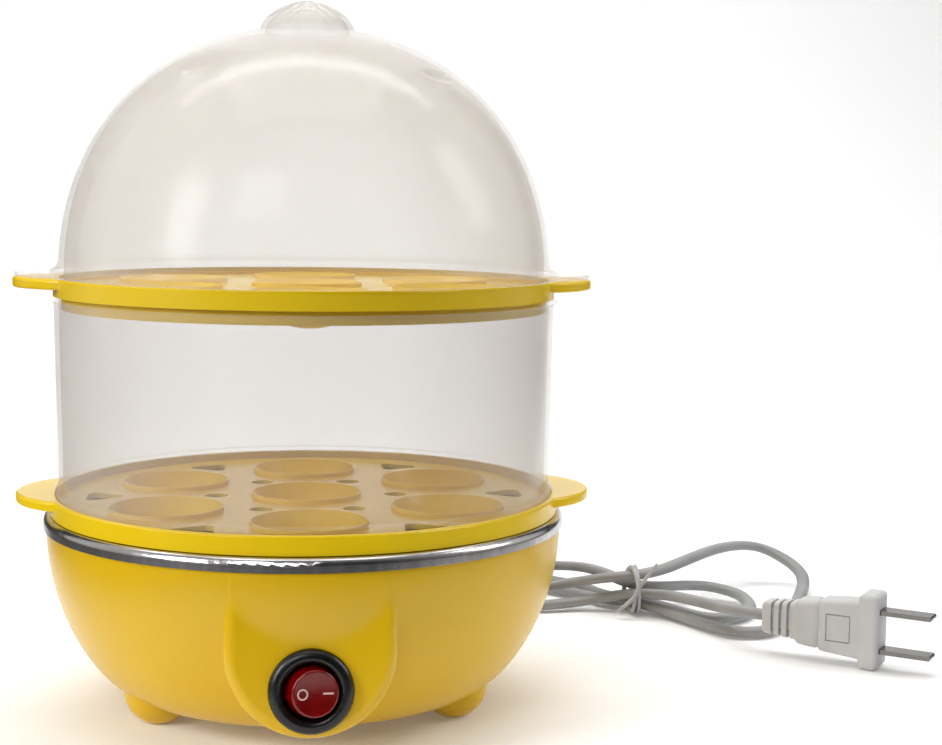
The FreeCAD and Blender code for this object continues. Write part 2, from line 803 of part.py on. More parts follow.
lower_base = rim_top + seat_gap
lower_rim, lower_floor, _, _ = tray_levels(lower_base)
housing_low = lower_floor + seat_gap
shoulder_top = housing_low + housing_height
upper_base = shoulder_top + seat_gap
upper_rim, upper_floor, _, _ = tray_levels(upper_base)
collar_in = upper_tray_radius + nest_gap
collar_out = collar_in + collar_wall


def middle_housing():
    low = housing_bottom_radius
    high = housing_top_radius
    wall = housing_wall
    bead_low = lower_rim - 0.3
    bead_high = bead_low + bead_height
    bead_out = low + bead_proud
    shoulder_low = shoulder_top - 1.2
    collar_top = upper_rim - seat_gap - 0.6
    shell = turned((low - wall, housing_low), [
        (low, housing_low), (low, bead_low), (bead_out, bead_low + 0.6), (bead_out, bead_high - 0.6),
        (low, bead_high), (high, shoulder_low), (collar_out - 0.4, shoulder_low),
        (arc_mid((collar_out - 0.4, shoulder_low + 0.4), 0.4, -45), (collar_out, shoulder_low + 0.4)),
        (collar_out, collar_top), (collar_in, collar_top), (collar_in, shoulder_top),
        (high - wall, shoulder_top)])
    notch_low = upper_rim - ear_sheet - nest_gap
    notch_radius = ear_radius + nest_gap + 0.5
    for side in (-1, 1):
        notch = Part.makeCylinder(notch_radius, 10, V(side * (ear_tip - ear_radius), 0, notch_low))
        shell = shell.cut(notch.cut(ring(0, high - wall, notch_low - 1, notch_low + 12)))
    return shell


def dome(inset):
    """Dome body from the tray rim up, shrunk by the wall for its inside."""
    foot = upper_rim + seat_gap
    top = upper_rim + lid_height - inset
    side = lid_foot_radius - inset
    start = foot + lid_upstand
    return turned((0, foot - 10), [(side, foot - 10), (side, start),
                                   ((side - lid_lean, start + lid_side_pull), (lid_top_pull, top), (0, top))])


def dimple(extra):
    """Oval dent: a spheroid that lies along the dome's circle of latitude."""
    long_axis = dimple_length + extra
    short_axis = dimple_width + extra
    curve = Part.Ellipse(V(0, 0, 0), long_axis, short_axis)
    arc = Part.Edge(curve, 0, math.pi)
    axis = Part.LineSegment(V(-long_axis, 0, 0), V(long_axis, 0, 0)).toShape()
    face = Part.Face(Part.Wire([arc, axis]))
    return face.revolve(V(0, 0, 0), V(1, 0, 0), 360)


def dimples(extra):
    start = upper_rim + seat_gap + lid_upstand
    top = upper_rim + lid_height
    side = lid_foot_radius
    t = dimple_at
    on_dome = V((1 - t) ** 3 * side + 3 * t * (1 - t) ** 2 * (side - lid_lean) + 3 * t * t * (1 - t) * lid_top_pull, 0,
                (1 - t) ** 3 * start + 3 * t * (1 - t) ** 2 * (start + lid_side_pull) + t * t * (3 - 2 * t) * top)
    along = V((1 - t) ** 2 * -lid_lean + 2 * t * (1 - t) * (lid_top_pull - side + lid_lean) - t * t * lid_top_pull, 0,
              (1 - t) ** 2 * lid_side_pull + 2 * t * (1 - t) * (top - start - lid_side_pull))
    along.normalize()
    centre = on_dome + V(along.z, 0, -along.x) * (dimple_width - dimple_depth)
    dents = []
    for i in range(4):
        angle = -45 + 5 + 90 * i
        dent = dimple(extra)
        dent.rotate(V(0, 0, 0), V(0, 0, 1), 90)
        dent.translate(centre)
        dent.rotate(V(0, 0, 0), V(0, 0, 1), angle)
        dents.append(dent)
    return dents


def knob(inset):
    base = upper_rim + lid_height - 2.0
    top = upper_rim + lid_height + knob_height - inset
    r = knob_radius - inset
    body = turned((0, base - 1), [(r, base - 1), (r, base + 0.6),
                                  ((r * 0.95, base + 4.6), (r * 0.55, top), (0, top))])
    return body


def lid():
    foot = upper_rim + seat_gap
    outside = fused([dome(0).cut(ring(0, 100, foot - 12, foot)), knob(0)])
    flange = turned((lid_foot_radius - lid_wall, foot), [
        (lid_flange, foot), (lid_flange, foot + 1.7), (lid_foot_radius + 0.6, foot + 3.3),
        (lid_foot_radius - 0.4, foot + 5.0), (lid_foot_radius - lid_wall, foot + 5.0)])
    outside = outside.fuse(flange)
    inside = dome(lid_wall).fuse(knob(lid_wall))
    body = cut_all(outside, dimples(0)).cut(cut_all(inside, dimples(lid_wall)))
    skirt_out = upper_tray_radius - tray_wall - nest_gap
    body = body.fuse(ring(skirt_out - lid_skirt, skirt_out, foot - lid_skirt, foot + 0.8))
    for plate in ear_plate(ear_tip - 0.5, ear_radius, foot, foot + 1.3, lid_foot_radius):
        body = body.fuse(plate)
    top = upper_rim + lid_height + knob_height
    for i in range(knob_petals):
        angle = 360 / knob_petals * i
        start = polar(2.2, angle, top + 0.9)
        end = polar(knob_radius + 3.5, angle, top - knob_height + 1.4)
        body = body.cut(rod(1.5, start, end))
    return body.removeSplitter()


# ---- Cord, bushing, plug ----
def cord_bushing():
    z = cord_exit_height
    inner = pad_forward - shell_wall - 4.0
    flange = rod(bushing_flange, V(0, pad_forward, z), V(0, pad_forward + bushing_flange_thick, z))
    outer_edge = [e for e in flange.Edges if e.BoundBox.YMin > pad_forward + 1 and e.Length > bushing_flange]
    flange = flange.makeFillet(0.8, outer_edge)
    barrel = rod(bushing_radius, V(0, inner, z), V(0, pad_forward + 0.1, z))
    nut = rod(bushing_radius + 1.6, V(0, inner, z), V(0, pad_forward - shell_wall - 0.2, z))
    body = fused([flange, barrel, nut])
    return body.cut(rod(cord_width / 2 + 0.3, V(0, inner - 1, z), V(0, pad_forward + 5, z)))


boot_start = pad_forward + bushing_flange_thick
boot_end = boot_start + boot_length
boot_root = 5.2
boot_tip = 3.2


def strain_relief():
    """Tapered boot with grooves that let it bend."""
    steps = []
    rings = 5
    pitch = boot_length / rings
    for i in range(rings):
        r = boot_root + (boot_tip - boot_root) * i / (rings - 1)
        z = i * pitch
        steps += [(r, z), (r, z + pitch * 0.7), (r - 0.9, z + pitch * 0.7), (r - 0.9, z + pitch)]
    boot = turned((0, 0), steps + [(0, boot_length)])
    boot.Placement = FreeCAD.Placement(V(0, boot_start, cord_exit_height), FreeCAD.Rotation(V(1, 0, 0), -90))
    return boot


cord_rest = cord_width / 2 + 0.1    # height of a cord that lies on the table
hank_start = 44.0
lead_route = [(0, boot_end, cord_exit_height), (0, boot_end + 9, cord_exit_height), (4, boot_end + 19.4, 15),
              (12, boot_end + 30.4, 8.5), (21, boot_end + 38.4, cord_rest + 2),
              (31, boot_end + 41.9, cord_rest), (hank_start, boot_end + 41.9, cord_rest)]
tail_length = 8.0
plug_axis = V(math.cos(math.radians(plug_heading)), math.sin(math.radians(plug_heading)), 0)
plug_tail = V(plug_beside, boot_end - plug_before, plug_height)
tail_start = plug_tail - plug_axis * tail_length
tail_side = V(-plug_axis.y, plug_axis.x, 0) * 5
hank_outline = [(hank_start, boot_end - 5.6), (58, boot_end - 11.6), (104, boot_end - 10.6), (119, boot_end - 15.1),
                (128, boot_end - 17.6), (138, boot_end - 45.6),
                (tail_start.x - tail_side.x, tail_start.y - tail_side.y),
                (tail_start.x + tail_side.x, tail_start.y + tail_side.y),
                (162, boot_end - 51.6), (179, boot_end - 23.6), (196, boot_end + 22.4), (195, boot_end + 44.4),
                (184, boot_end + 50.4), (162, boot_end + 37.4), (140, boot_end + 15.4), (121, boot_end + 3.4),
                (114, boot_end + 22.4), (105, boot_end + 46.4), (90, boot_end + 50.9), (hank_start, boot_end + 50.9)]
hank_height = 19.4
tie_x = 119.5
tie_width = 3.0
tie_sheet = 1.0
tie_waist = 15.4            # width of the bundle inside the tie
tie_low = boot_end - 13.4   # its side nearest the cooker


def power_cord_hank():
    hank = slab(hank_outline, 0, hank_height, 2.0)
    groove = Part.makeBox(tie_width + 0.6, 60, hank_height + 10, V(tie_x - tie_width / 2 - 0.3, tie_low - 22, -5))
    core = Part.makeBox(tie_width + 2, tie_waist, hank_height - 2 * tie_sheet - 0.4,
                        V(tie_x - tie_width / 2 - 1, tie_low, tie_sheet + 0.2))
    return hank.cut(groove.cut(core))


def cord_tie():
    low_y = tie_low - 0.1
    high_y = tie_low + tie_waist + 0.1
    top = hank_height - tie_sheet - 0.1
    half = tie_width / 2
    outer = Part.makeBox(tie_width, high_y - low_y + 2 * tie_sheet, top + tie_sheet - 0.05,
                         V(tie_x - half, low_y - tie_sheet, 0.05))
    inner = Part.makeBox(tie_width + 2, high_y - low_y, top - tie_sheet - 0.05,
                         V(tie_x - half - 1, low_y, tie_sheet + 0.1))
    band = outer.cut(inner)
    twist = rod(1.2, V(tie_x, low_y - 0.8, 9.5), V(tie_x, low_y - 3.4, 9.5))
    knot = V(tie_x, low_y - 3.0, 9.5)
    tails = [rod(0.9, knot, knot + V(8, -3.5, 10.5)), rod(0.9, knot, knot + V(-9, -2.5, -7.5))]
    return fused([band, twist] + tails)


plug_place = FreeCAD.Placement(plug_tail, FreeCAD.Rotation(V(0, 0, 1), plug_heading))


def to_plug(shape):
    placed = shape.copy()
    placed.Placement = plug_place.multiply(shape.Placement)
    return placed


def plug_block(x_low, x_high, width, height_low, height_high, rounding):
    """Length of the plug whose height grows from one end to the other."""
    corners = [V(x_low, -width / 2, -height_low / 2), V(x_high, -width / 2, -height_high / 2),
               V(x_high, -width / 2, height_high / 2), V(x_low, -width / 2, height_low / 2)]
    block = Part.Face(Part.makePolygon(corners + corners[:1])).extrude(V(0, width, 0))
    return block.makeFillet(rounding, block.Edges)


relief_length = 11.0
neck_length = 9.5
plug_shoulder = relief_length + neck_length
plate_start = 33.0
plate_end = 39.4
plate_height = 24.4


def plug_body():
    relief = plug_block(0, relief_length + 2, 8.4, 10.4, 12.6, 1.6)
    for i in range(3):
        x = 3.4 + 2.7 * i
        slot = ring(0, 20, 0, 1.1)
        slot.rotate(V(0, 0, 0), V(0, 1, 0), 90)
        slot.translate(V(x, 0, 0))
        core = Part.makeBox(2, 5.2, 6.6, V(x - 0.4, -2.6, -3.3))
        relief = relief.cut(slot.cut(core))
    neck = plug_block(relief_length, plug_shoulder, 10.2, 14.4, 16.6, 2.6)
    body = plug_block(plug_shoulder - 1.2, plate_start + 2, 10.2, 16.8, 19.4, 1.8)
    plate = plug_block(plate_start, plate_end, 12.0, plate_height, plate_height, 1.6)
    whole = fused([relief, neck, body, plate])
    for side in (-1, 1):
        panel = Part.makeBox(8.2, 1.0, 9.0, V(plug_shoulder + 1.8, side * 5.1 - 0.5, -4.5))
        inner = Part.makeBox(7.4, 1.4, 8.2, V(plug_shoulder + 2.2, side * 5.1 - 0.7, -4.1))
        whole = whole.cut(panel.cut(inner))
    for side in (-1, 1):
        whole = whole.cut(Part.makeBox(12, 6.6, 1.7, V(plate_end - 11, -3.3, side * blade_pitch / 2 - 0.85)))
    return to_plug(whole)


def plug_blades():
    blades = []
    for side in (-1, 1):
        z = side * blade_pitch / 2
        blade = Part.makeBox(blade_length + 10.5, 6.3, 1.5, V(plate_end - 10.5, -3.15, z - 0.75))
        tip_x = plate_end + blade_length
        ends = [e for e in blade.Edges if e.BoundBox.XMin > tip_x - 0.01]
        blade = blade.makeChamfer(0.5, ends)
        blades.append(to_plug(blade))
    return blades


# ---- Inner wiring ----
wire_radius = 1.0
switch_rear = switch_body_depth + 7.5
floor_wire_z = 15.0


def inner_wires():
    inner_end = pad_forward - shell_wall - 4.0
    left = face_place.multVec(V(terminal_places[0], 0, -switch_rear - 1.2))
    middle = face_place.multVec(V(terminal_places[1], 0, -switch_rear - 1.2))
    right = face_place.multVec(V(terminal_places[2], 0, -switch_rear - 1.2))
    pin_z = element_z - 5 - 6 - wire_radius
    pin_right = polar(element_ring, 90 - element_gap / 2, pin_z)
    tab_z = spreader_under - cap_height - body_height - wire_radius + 1.0
    live = [(-1.2, inner_end - 0.1, cord_exit_height), (-4, 54, 17.5), (-20, 50, floor_wire_z),
            (-40, 36, floor_wire_z), (-53, 10, floor_wire_z), (-50, -16, floor_wire_z + 1),
            (-34, -35, 18), (-16, -41, left.z - 1), (left.x - 1, left.y + 4, left.z), tuple(left)]
    neutral = [(1.2, inner_end - 0.1, cord_exit_height), (4, 54, 18), (10, 45, 19), (14, 36, 20),
               (pin_right.x, pin_right.y + 3, pin_right.z - 3), tuple(pin_right)]
    switched = [tuple(middle), (1.5, -48, middle.z - 4), (8, -42, 12.5), (14, -33, 12.5),
                (21, -21, 13.5), (24, -8, 17), (19, -1, tab_z - 3), (15, 0, tab_z)]
    lamp = [tuple(right), (right.x + 2, right.y + 4, right.z - 1), (26, -38, 16), (44, -24, 15), (53, -2, 15),
            (50, 22, 15), (36, 40, 16), (20, 46, 17), (12, 48, 17)]
    return {"live_wire": live, "neutral_wire": neutral, "switched_wire": switched, "lamp_wire": lamp}


def main():
    save("base_shell", base_shell())
    save("bottom_cover", bottom_cover())
    save("cover_screws", cover_screws())
    save("heating_dish", heating_dish())
    save("dish_brackets", dish_brackets())
    save("dish_screws", dish_screws())
    save("heat_spreader", ring(0, spreader_radius, spreader_under, pad_under))
    save("heating_element", heating_element())
    save("element_pins", element_pins())
    save("thermostat", thermostat())
    save("thermostat_tabs", thermostat_tabs())
    save("thermostat_clip", thermostat_clip())
    save("thermal_fuse", thermal_fuse())
    save("fuse_sleeve", fuse_sleeve())
    for name, route in inner_wires().items():
        save(name, tube(name, route, wire_radius))
    save("switch_housing", switch_housing())
    save("switch_terminals", switch_terminals())
    save("neon_lamp", neon_lamp())
    save("rocker", rocker())
    save("rocker_marks", rocker_marks())
    save("plunger", plunger())
    save("plunger_spring", plunger_spring())
    save("contact_bridge", contact_bridge())
    save("lower_tray", egg_tray(lower_tray_radius, lower_base, rim_in - skirt_clearance))
    save("middle_housing", middle_housing())
    save("upper_tray", egg_tray(upper_tray_radius, upper_base,
                                housing_top_radius - housing_wall - skirt_clearance))
    save("lid", lid())
    save("cord_bushing", cord_bushing())
    save("strain_relief", strain_relief())
    save("power_cord_lead", tube("power_cord_lead", lead_route, cord_width / 2))
    save("power_cord_hank", power_cord_hank())
    save("power_cord_tail", rod(cord_width / 2, tail_start, plug_tail))
    save("cord_tie", cord_tie())
    save("plug_body", plug_body())
    save("plug_blades", plug_blades())


main()
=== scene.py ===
import math

import bmesh
import bpy
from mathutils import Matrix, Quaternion, Vector


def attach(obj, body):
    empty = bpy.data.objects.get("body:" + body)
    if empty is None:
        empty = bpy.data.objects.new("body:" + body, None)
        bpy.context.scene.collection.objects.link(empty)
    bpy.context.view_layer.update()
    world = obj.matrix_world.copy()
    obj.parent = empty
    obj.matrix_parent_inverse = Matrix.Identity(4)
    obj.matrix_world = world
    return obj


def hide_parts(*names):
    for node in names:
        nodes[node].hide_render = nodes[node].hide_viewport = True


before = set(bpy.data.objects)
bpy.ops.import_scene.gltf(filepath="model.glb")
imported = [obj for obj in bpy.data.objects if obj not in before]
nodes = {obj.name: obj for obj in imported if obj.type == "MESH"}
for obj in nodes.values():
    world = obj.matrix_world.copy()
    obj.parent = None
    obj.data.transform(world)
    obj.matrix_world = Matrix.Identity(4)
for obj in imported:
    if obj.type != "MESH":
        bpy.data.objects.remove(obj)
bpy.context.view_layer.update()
mm = 0.001
print("frame loaded:", len(nodes), "nodes")


def linearColour(hexCode, alpha=1.0):
    # sRGB hex to the linear values that a shader takes
    shares = [int(hexCode[i:i + 2], 16) / 255 for i in (1, 3, 5)]
    return tuple(s / 12.92 if s <= 0.04045 else ((s + 0.055) / 1.055) ** 2.4 for s in shares) + (alpha,)


def addNode(tree, kind, inputs=None, **settings):
    # one node with its settings; an input is a value or another node's output
    node = tree.nodes.new(kind)
    for name, value in settings.items():
        setattr(node, name, value)
    for name, value in (inputs or {}).items():
        if isinstance(value, bpy.types.NodeSocket):
            tree.links.new(value, node.inputs[name])
        else:
            node.inputs[name].default_value = value
    return node


def newMaterial(name):
    material = bpy.data.materials.new(name)
    material.use_nodes = True
    material.node_tree.nodes.clear()
    return material, material.node_tree


def finishMaterial(tree, shader):
    addNode(tree, "ShaderNodeOutputMaterial", {"Surface": shader.outputs[0]})


def colourBetween(tree, factor, darkHex, lightHex, low=0.3, high=0.7):
    # ramp from one colour to another as the factor goes from low to high
    ramp = addNode(tree, "ShaderNodeValToRGB", {"Fac": factor})
    ramp.color_ramp.elements[0].position = low
    ramp.color_ramp.elements[0].color = linearColour(darkHex)
    ramp.color_ramp.elements[1].position = high
    ramp.color_ramp.elements[1].color = linearColour(lightHex)
    return ramp.outputs["Color"]


def objectNoise(tree, sizeMm, detail=2.0, stretch=(1, 1, 1)):
    # noise on the piece's own coordinates, with grains of about sizeMm
    place = addNode(tree, "ShaderNodeTexCoord")
    mapping = addNode(tree, "ShaderNodeMapping", {"Vector": place.outputs["Object"], "Scale": stretch})
    return addNode(tree, "ShaderNodeTexNoise", {
        "Vector": mapping.outputs["Vector"], "Scale": 1 / (sizeMm * mm), "Detail": detail,
        "Roughness": 0.5}).outputs["Fac"]


def bumpFrom(tree, height, depthMm, strength):
    return addNode(tree, "ShaderNodeBump", {
        "Height": height, "Distance": depthMm * mm, "Strength": strength}).outputs["Normal"]


def spread(tree, factor, low, high):
    # a 0-1 pattern as a value from low to high
    return addNode(tree, "ShaderNodeMapRange", {
        "Value": factor, "From Min": 0.25, "From Max": 0.75, "To Min": low, "To Max": high}).outputs["Result"]


# the three angles are in radians
camera = {"lensMm": 64.9, "sensorMm": 36.0, "nearest": 0.01, "placeMm": (-8.49, -501.93, 149.3),
          "turnRight": 0.1138, "tipDown": 0.1029, "roll": 0.0120}


def addCamera():
    data = bpy.data.cameras.new("camera")
    data.sensor_fit = "HORIZONTAL"
    data.sensor_width = camera["sensorMm"]
    data.lens = camera["lensMm"]
    data.clip_start = camera["nearest"]
    piece = bpy.data.objects.new("camera", data)
    bpy.context.collection.objects.link(piece)
    turn, tip = camera["turnRight"], camera["tipDown"]
    ahead = Vector((math.sin(turn) * math.cos(tip), math.cos(turn) * math.cos(tip), -math.sin(tip)))
    piece.location = Vector(camera["placeMm"]) * mm
    piece.rotation_mode = "QUATERNION"
    piece.rotation_quaternion = ahead.to_track_quat("-Z", "Y") @ Quaternion((0, 0, 1), camera["roll"])
    bpy.context.scene.camera = piece


addCamera()
print("camera placed")


def newPiece(name, mesh, body, material):
    piece = bpy.data.objects.new(name, mesh)
    bpy.context.collection.objects.link(piece)
    mesh.materials.clear()
    mesh.materials.append(material)
    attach(piece, body)
    return piece


def curveObject(name, points, resolution):
    # one open NURBS spline through space, with the points as its control points
    data = bpy.data.curves.new(name, "CURVE")
    data.dimensions = "3D"
    data.resolution_u = resolution
    spline = data.splines.new("NURBS")
    spline.points.add(len(points) - 1)
    for point, place in zip(spline.points, points):
        point.co = (*place, 1.0)
    spline.order_u = 3
    spline.use_endpoint_u = True
    piece = bpy.data.objects.new(name, data)
    bpy.context.collection.objects.link(piece)
    return piece


def meshOf(piece):
    bpy.context.view_layer.update()
    ready = piece.evaluated_get(bpy.context.evaluated_depsgraph_get())
    return bpy.data.meshes.new_from_object(ready)


def sweptMesh(name, points, outline, resolution, twist):
    # a tube with the outline as its section; returns its mesh and the line that it follows
    curve = curveObject(name + "Line", points, resolution)
    line = meshOf(curve)
    path = [tuple(v.co) for v in line.vertices]
    section = bpy.data.curves.new(name + "Section", "CURVE")
    section.dimensions = "2D"
    spline = section.splines.new("POLY")
    spline.points.add(len(outline) - 1)
    for point, (x, y) in zip(spline.points, outline):
        point.co = (x, y, 0, 1)
    spline.use_cyclic_u = True
    sectionPiece = bpy.data.objects.new(name + "Section", section)
    bpy.context.collection.objects.link(sectionPiece)
    curve.data.bevel_mode = "OBJECT"
    curve.data.bevel_object = sectionPiece
    curve.data.use_fill_caps = True
    curve.data.twist_mode = twist
    mesh = meshOf(curve)
    for extra in (curve, sectionPiece):
        bpy.data.objects.remove(extra)
    shell = bmesh.new()
    shell.from_mesh(mesh)
    bmesh.ops.remove_doubles(shell, verts=shell.verts, dist=0.01 * mm)
    bmesh.ops.recalc_face_normals(shell, faces=shell.faces)
    shell.to_mesh(mesh)
    shell.free()
    for face in mesh.polygons:
        face.use_smooth = len(face.vertices) == 4
    return mesh, path


# flexible PVC, extruded over two cores: soft light grey with a faint bloom
def softPvc(name, darkHex, lightHex):
    material, tree = newMaterial(name)
    cloud = objectNoise(tree, 14.0)
    skin = objectNoise(tree, 0.9, detail=3.0)
    shader = addNode(tree, "ShaderNodeBsdfPrincipled", {
        "Base Color": colourBetween(tree, cloud, darkHex, lightHex),
        "Roughness": spread(tree, skin, 0.42, 0.56),
        "IOR": 1.53,
        "Normal": bumpFrom(tree, skin, 0.04, 0.5)})
    finishMaterial(tree, shader)
    return material


cordPvc = softPvc("softGreyPvc", "#8F8F8F", "#9B9B9B")
plugPvc = softPvc("paleGreyPvc", "#BEBEBE", "#C8C8C8")
tiePvc = softPvc("tieGreyPvc", "#B4B4B4", "#C0C0C0")

cord = {"widthMm": 4.8, "thickMm": 3.9, "grooveMm": 0.35, "sectionPoints": 20, "steps": 8, "length": 0.95,
        "exit": (0.0, 0.0997, 0.019)}
cordRoute = [
    (0.0, 0.0975, 0.019), (0.0, 0.1087, 0.019), (0.004, 0.119, 0.015), (0.012, 0.130, 0.0085),
    (0.021, 0.138, 0.0045), (0.031, 0.1415, 0.0025), (0.044, 0.1415, 0.0025), (0.062, 0.145, 0.003),
    (0.082, 0.147, 0.005), (0.099, 0.141, 0.007), (0.108, 0.126, 0.0095), (0.113, 0.110, 0.0105),
    (0.120, 0.0975, 0.009),
    # small loop beyond the tie
    (0.131, 0.098, 0.008), (0.142, 0.106, 0.0065), (0.153, 0.1105, 0.005), (0.1625, 0.103, 0.0035),
    (0.163, 0.090, 0.0024), (0.1585, 0.078, 0.0024), (0.151, 0.0715, 0.0024), (0.1415, 0.073, 0.0024),
    (0.1355, 0.081, 0.0024),
    (0.1285, 0.090, 0.003), (0.1200, 0.0985, 0.0038),
    # behind the cooker, the first return
    (0.112, 0.108, 0.0026), (0.107, 0.122, 0.0024), (0.098, 0.134, 0.0024), (0.084, 0.1385, 0.0034),
    (0.070, 0.1365, 0.0070), (0.060, 0.127, 0.0078), (0.060, 0.1145, 0.0062), (0.072, 0.108, 0.0045),
    (0.087, 0.1065, 0.006), (0.100, 0.101, 0.0095), (0.110, 0.0945, 0.0125), (0.1205, 0.0915, 0.0138),
    # big loop beyond the tie
    (0.131, 0.0965, 0.0145), (0.142, 0.107, 0.0155), (0.1565, 0.122, 0.0165), (0.170, 0.135, 0.0155),
    (0.181, 0.1395, 0.0135), (0.1895, 0.1335, 0.0095), (0.1925, 0.124, 0.0065), (0.1905, 0.1145, 0.004),
    (0.183, 0.097, 0.0024),
    (0.1745, 0.078, 0.0024), (0.1655, 0.061, 0.0024), (0.1575, 0.0525, 0.0024), (0.1475, 0.0525, 0.0024),
    (0.1405, 0.061, 0.0024),
    (0.1345, 0.074, 0.0024), (0.1275, 0.0855, 0.003), (0.1195, 0.0935, 0.0038),
    # behind the cooker, the second return
    (0.109, 0.103, 0.0026), (0.101, 0.115, 0.0024), (0.092, 0.1255, 0.0024), (0.079, 0.1305, 0.0024),
    (0.063, 0.128, 0.0024), (0.0515, 0.1175, 0.0024), (0.053, 0.1025, 0.0024), (0.067, 0.0945, 0.0024),
    (0.085, 0.094, 0.0024), (0.099, 0.0965, 0.003), (0.110, 0.0955, 0.005), (0.1195, 0.0905, 0.0075),
    # the end that carries the plug
    (0.130, 0.083, 0.0085), (0.138, 0.071, 0.009), (0.1425, 0.0575, 0.010), (0.1445, 0.047, 0.0118),
    (0.1485, 0.0396, 0.0124), (0.1532, 0.0361, 0.0124)]


def twinOutline(width, thick, groove, count):
    # flat twin cord: two cores side by side with a shallow groove between them
    grooveHalf = 0.16 * width
    outline = []
    for i in range(count):
        angle = 2 * math.pi * i / count
        x = math.cos(angle) * width / 2
        y = math.sin(angle) * thick / 2
        pinch = groove * math.exp(-(x / grooveHalf) ** 2)
        outline.append((x, y - math.copysign(pinch, y) if abs(y) > pinch else y))
    return outline


def addCord():
    outline = twinOutline(cord["widthMm"] * mm, cord["thickMm"] * mm, cord["grooveMm"] * mm,
                          cord["sectionPoints"])
    mesh, path = sweptMesh("powerCord", cordRoute, outline, cord["steps"], "Z_UP")
    piece = newPiece("powerCord", mesh, "base", cordPvc)
    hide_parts("power_cord_lead", "power_cord_hank", "power_cord_tail")
    length = sum((Vector(a) - Vector(b)).length for a, b in zip(path, path[1:]))
    print("cord length", round(length, 3), "m over", len(path), "points")
    return piece, path


powerCord, cordPath = addCord()

tie = {"widthMm": 2.3, "thickMm": 1.3, "sectionPoints": 12, "steps": 8}
tieRoute = [
    (0.1262, 0.0832, 0.0196), (0.1236, 0.0838, 0.0160), (0.1208, 0.0845, 0.0120), (0.1190, 0.0850, 0.0085),
    (0.1186, 0.0855, 0.0030), (0.1184, 0.0890, 0.0011), (0.1182, 0.0960, 0.0011), (0.1182, 0.1010, 0.0020),
    (0.1182, 0.1022, 0.0070), (0.1184, 0.0990, 0.0130), (0.1188, 0.0930, 0.0168), (0.1192, 0.0880, 0.0160),
    (0.1198, 0.0852, 0.0120), (0.1204, 0.0848, 0.0060), (0.1206, 0.0870, 0.0012), (0.1208, 0.0950, 0.0011),
    (0.1208, 0.1010, 0.0020), (0.1208, 0.1022, 0.0080), (0.1206, 0.0980, 0.0145), (0.1203, 0.0920, 0.0170),
    (0.1200, 0.0868, 0.0150), (0.1198, 0.0840, 0.0110), (0.1182, 0.0830, 0.0080), (0.1150, 0.0826, 0.0050),
    (0.1118, 0.0824, 0.0026)]


def addTie():
    # a flat strip: the same outline with no groove
    outline = twinOutline(tie["widthMm"] * mm, tie["thickMm"] * mm, 0.0, tie["sectionPoints"])
    mesh, _ = sweptMesh("cordTie", tieRoute, outline, tie["steps"], "MINIMUM")
    piece = newPiece("cordTie", mesh, "base", tiePvc)
    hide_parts("cord_tie")
    return piece


cordTie = addTie()

# for each edge of the white, painted pool of light on the floor: the way inwards from it and where it lies in
# mm; beyond the edges the floor is painted shade in dark grey, and the glow inside is painted light
studio = {"floorSize": 3.0, "wallHeight": 1.6, "wallAt": 1.1, "coveMm": 450, "coveSegments": 16,
          "paintedShadeGrey": "#3C3C3C", "whitePaper": "#F4F4F4", "glow": 0.09, "fadeMm": 90,
          "paintedPoolEdges": (((1, 0.16, 0), -200), ((-1, 0.39, 0), -340), ((0, 1, 0), -225)),
          "frontDim": 0.04, "world": 0.60, "dimUpTo": -0.8, "brightFrom": 0.25}


def addStudio():
    # floor that sweeps up behind into a wall
    shell = bmesh.new()
    half = studio["floorSize"] / 2
    bmesh.ops.create_grid(shell, x_segments=1, y_segments=1, size=half)
    for vertex in shell.verts:
        vertex.co.y = studio["wallAt"] if vertex.co.y > 0 else -half
    back = [e for e in shell.edges if all(v.co.y > 0 for v in e.verts)]
    raised = bmesh.ops.extrude_edge_only(shell, edges=back)["geom"]
    bmesh.ops.translate(shell, verts=[g for g in raised if isinstance(g, bmesh.types.BMVert)],
                        vec=(0, 0, studio["wallHeight"]))
    corner = [e for e in shell.edges if all(v.co.y > 0 and v.co.z < 0.001 for v in e.verts)]
    bmesh.ops.bevel(shell, geom=corner, offset=studio["coveMm"] * mm, segments=studio["coveSegments"],
                    profile=0.5, affect="EDGES", material=-1)
    mesh = bpy.data.meshes.new("studioFloor")
    shell.to_mesh(mesh)
    shell.free()
    for face in mesh.polygons:
        face.use_smooth = True
    # painted pool of light on the floor: white and faintly glowing round the cooker and behind it as painted
    # light, painted shade in dark grey to the front and sides
    material, tree = newMaterial("paintedLightPoolPaper")
    place = addNode(tree, "ShaderNodeTexCoord")
    pool = 1.0
    for direction, edgeMm in studio["paintedPoolEdges"]:
        along = addNode(tree, "ShaderNodeVectorMath", {0: place.outputs["Object"], 1: direction},
                        operation="DOT_PRODUCT")
        inside = addNode(tree, "ShaderNodeMapRange", {
            "Value": along.outputs["Value"], "From Min": edgeMm * mm,
            "From Max": (edgeMm + studio["fadeMm"]) * mm})
        pool = addNode(tree, "ShaderNodeMath", {0: inside.outputs["Result"], 1: pool},
                       operation="MULTIPLY").outputs[0]
    glow = addNode(tree, "ShaderNodeMath", {0: pool, 1: studio["glow"]}, operation="MULTIPLY")
    finishMaterial(tree, addNode(tree, "ShaderNodeBsdfPrincipled", {
        "Base Color": colourBetween(tree, pool, studio["paintedShadeGrey"], studio["whitePaper"], 0.0, 1.0),
        "Roughness": 0.8,
        "Emission Color": linearColour("#FFFFFF"), "Emission Strength": glow.outputs[0]}))
    mesh.materials.append(material)
    floor = bpy.data.objects.new("studioFloor", mesh)
    bpy.context.collection.objects.link(floor)


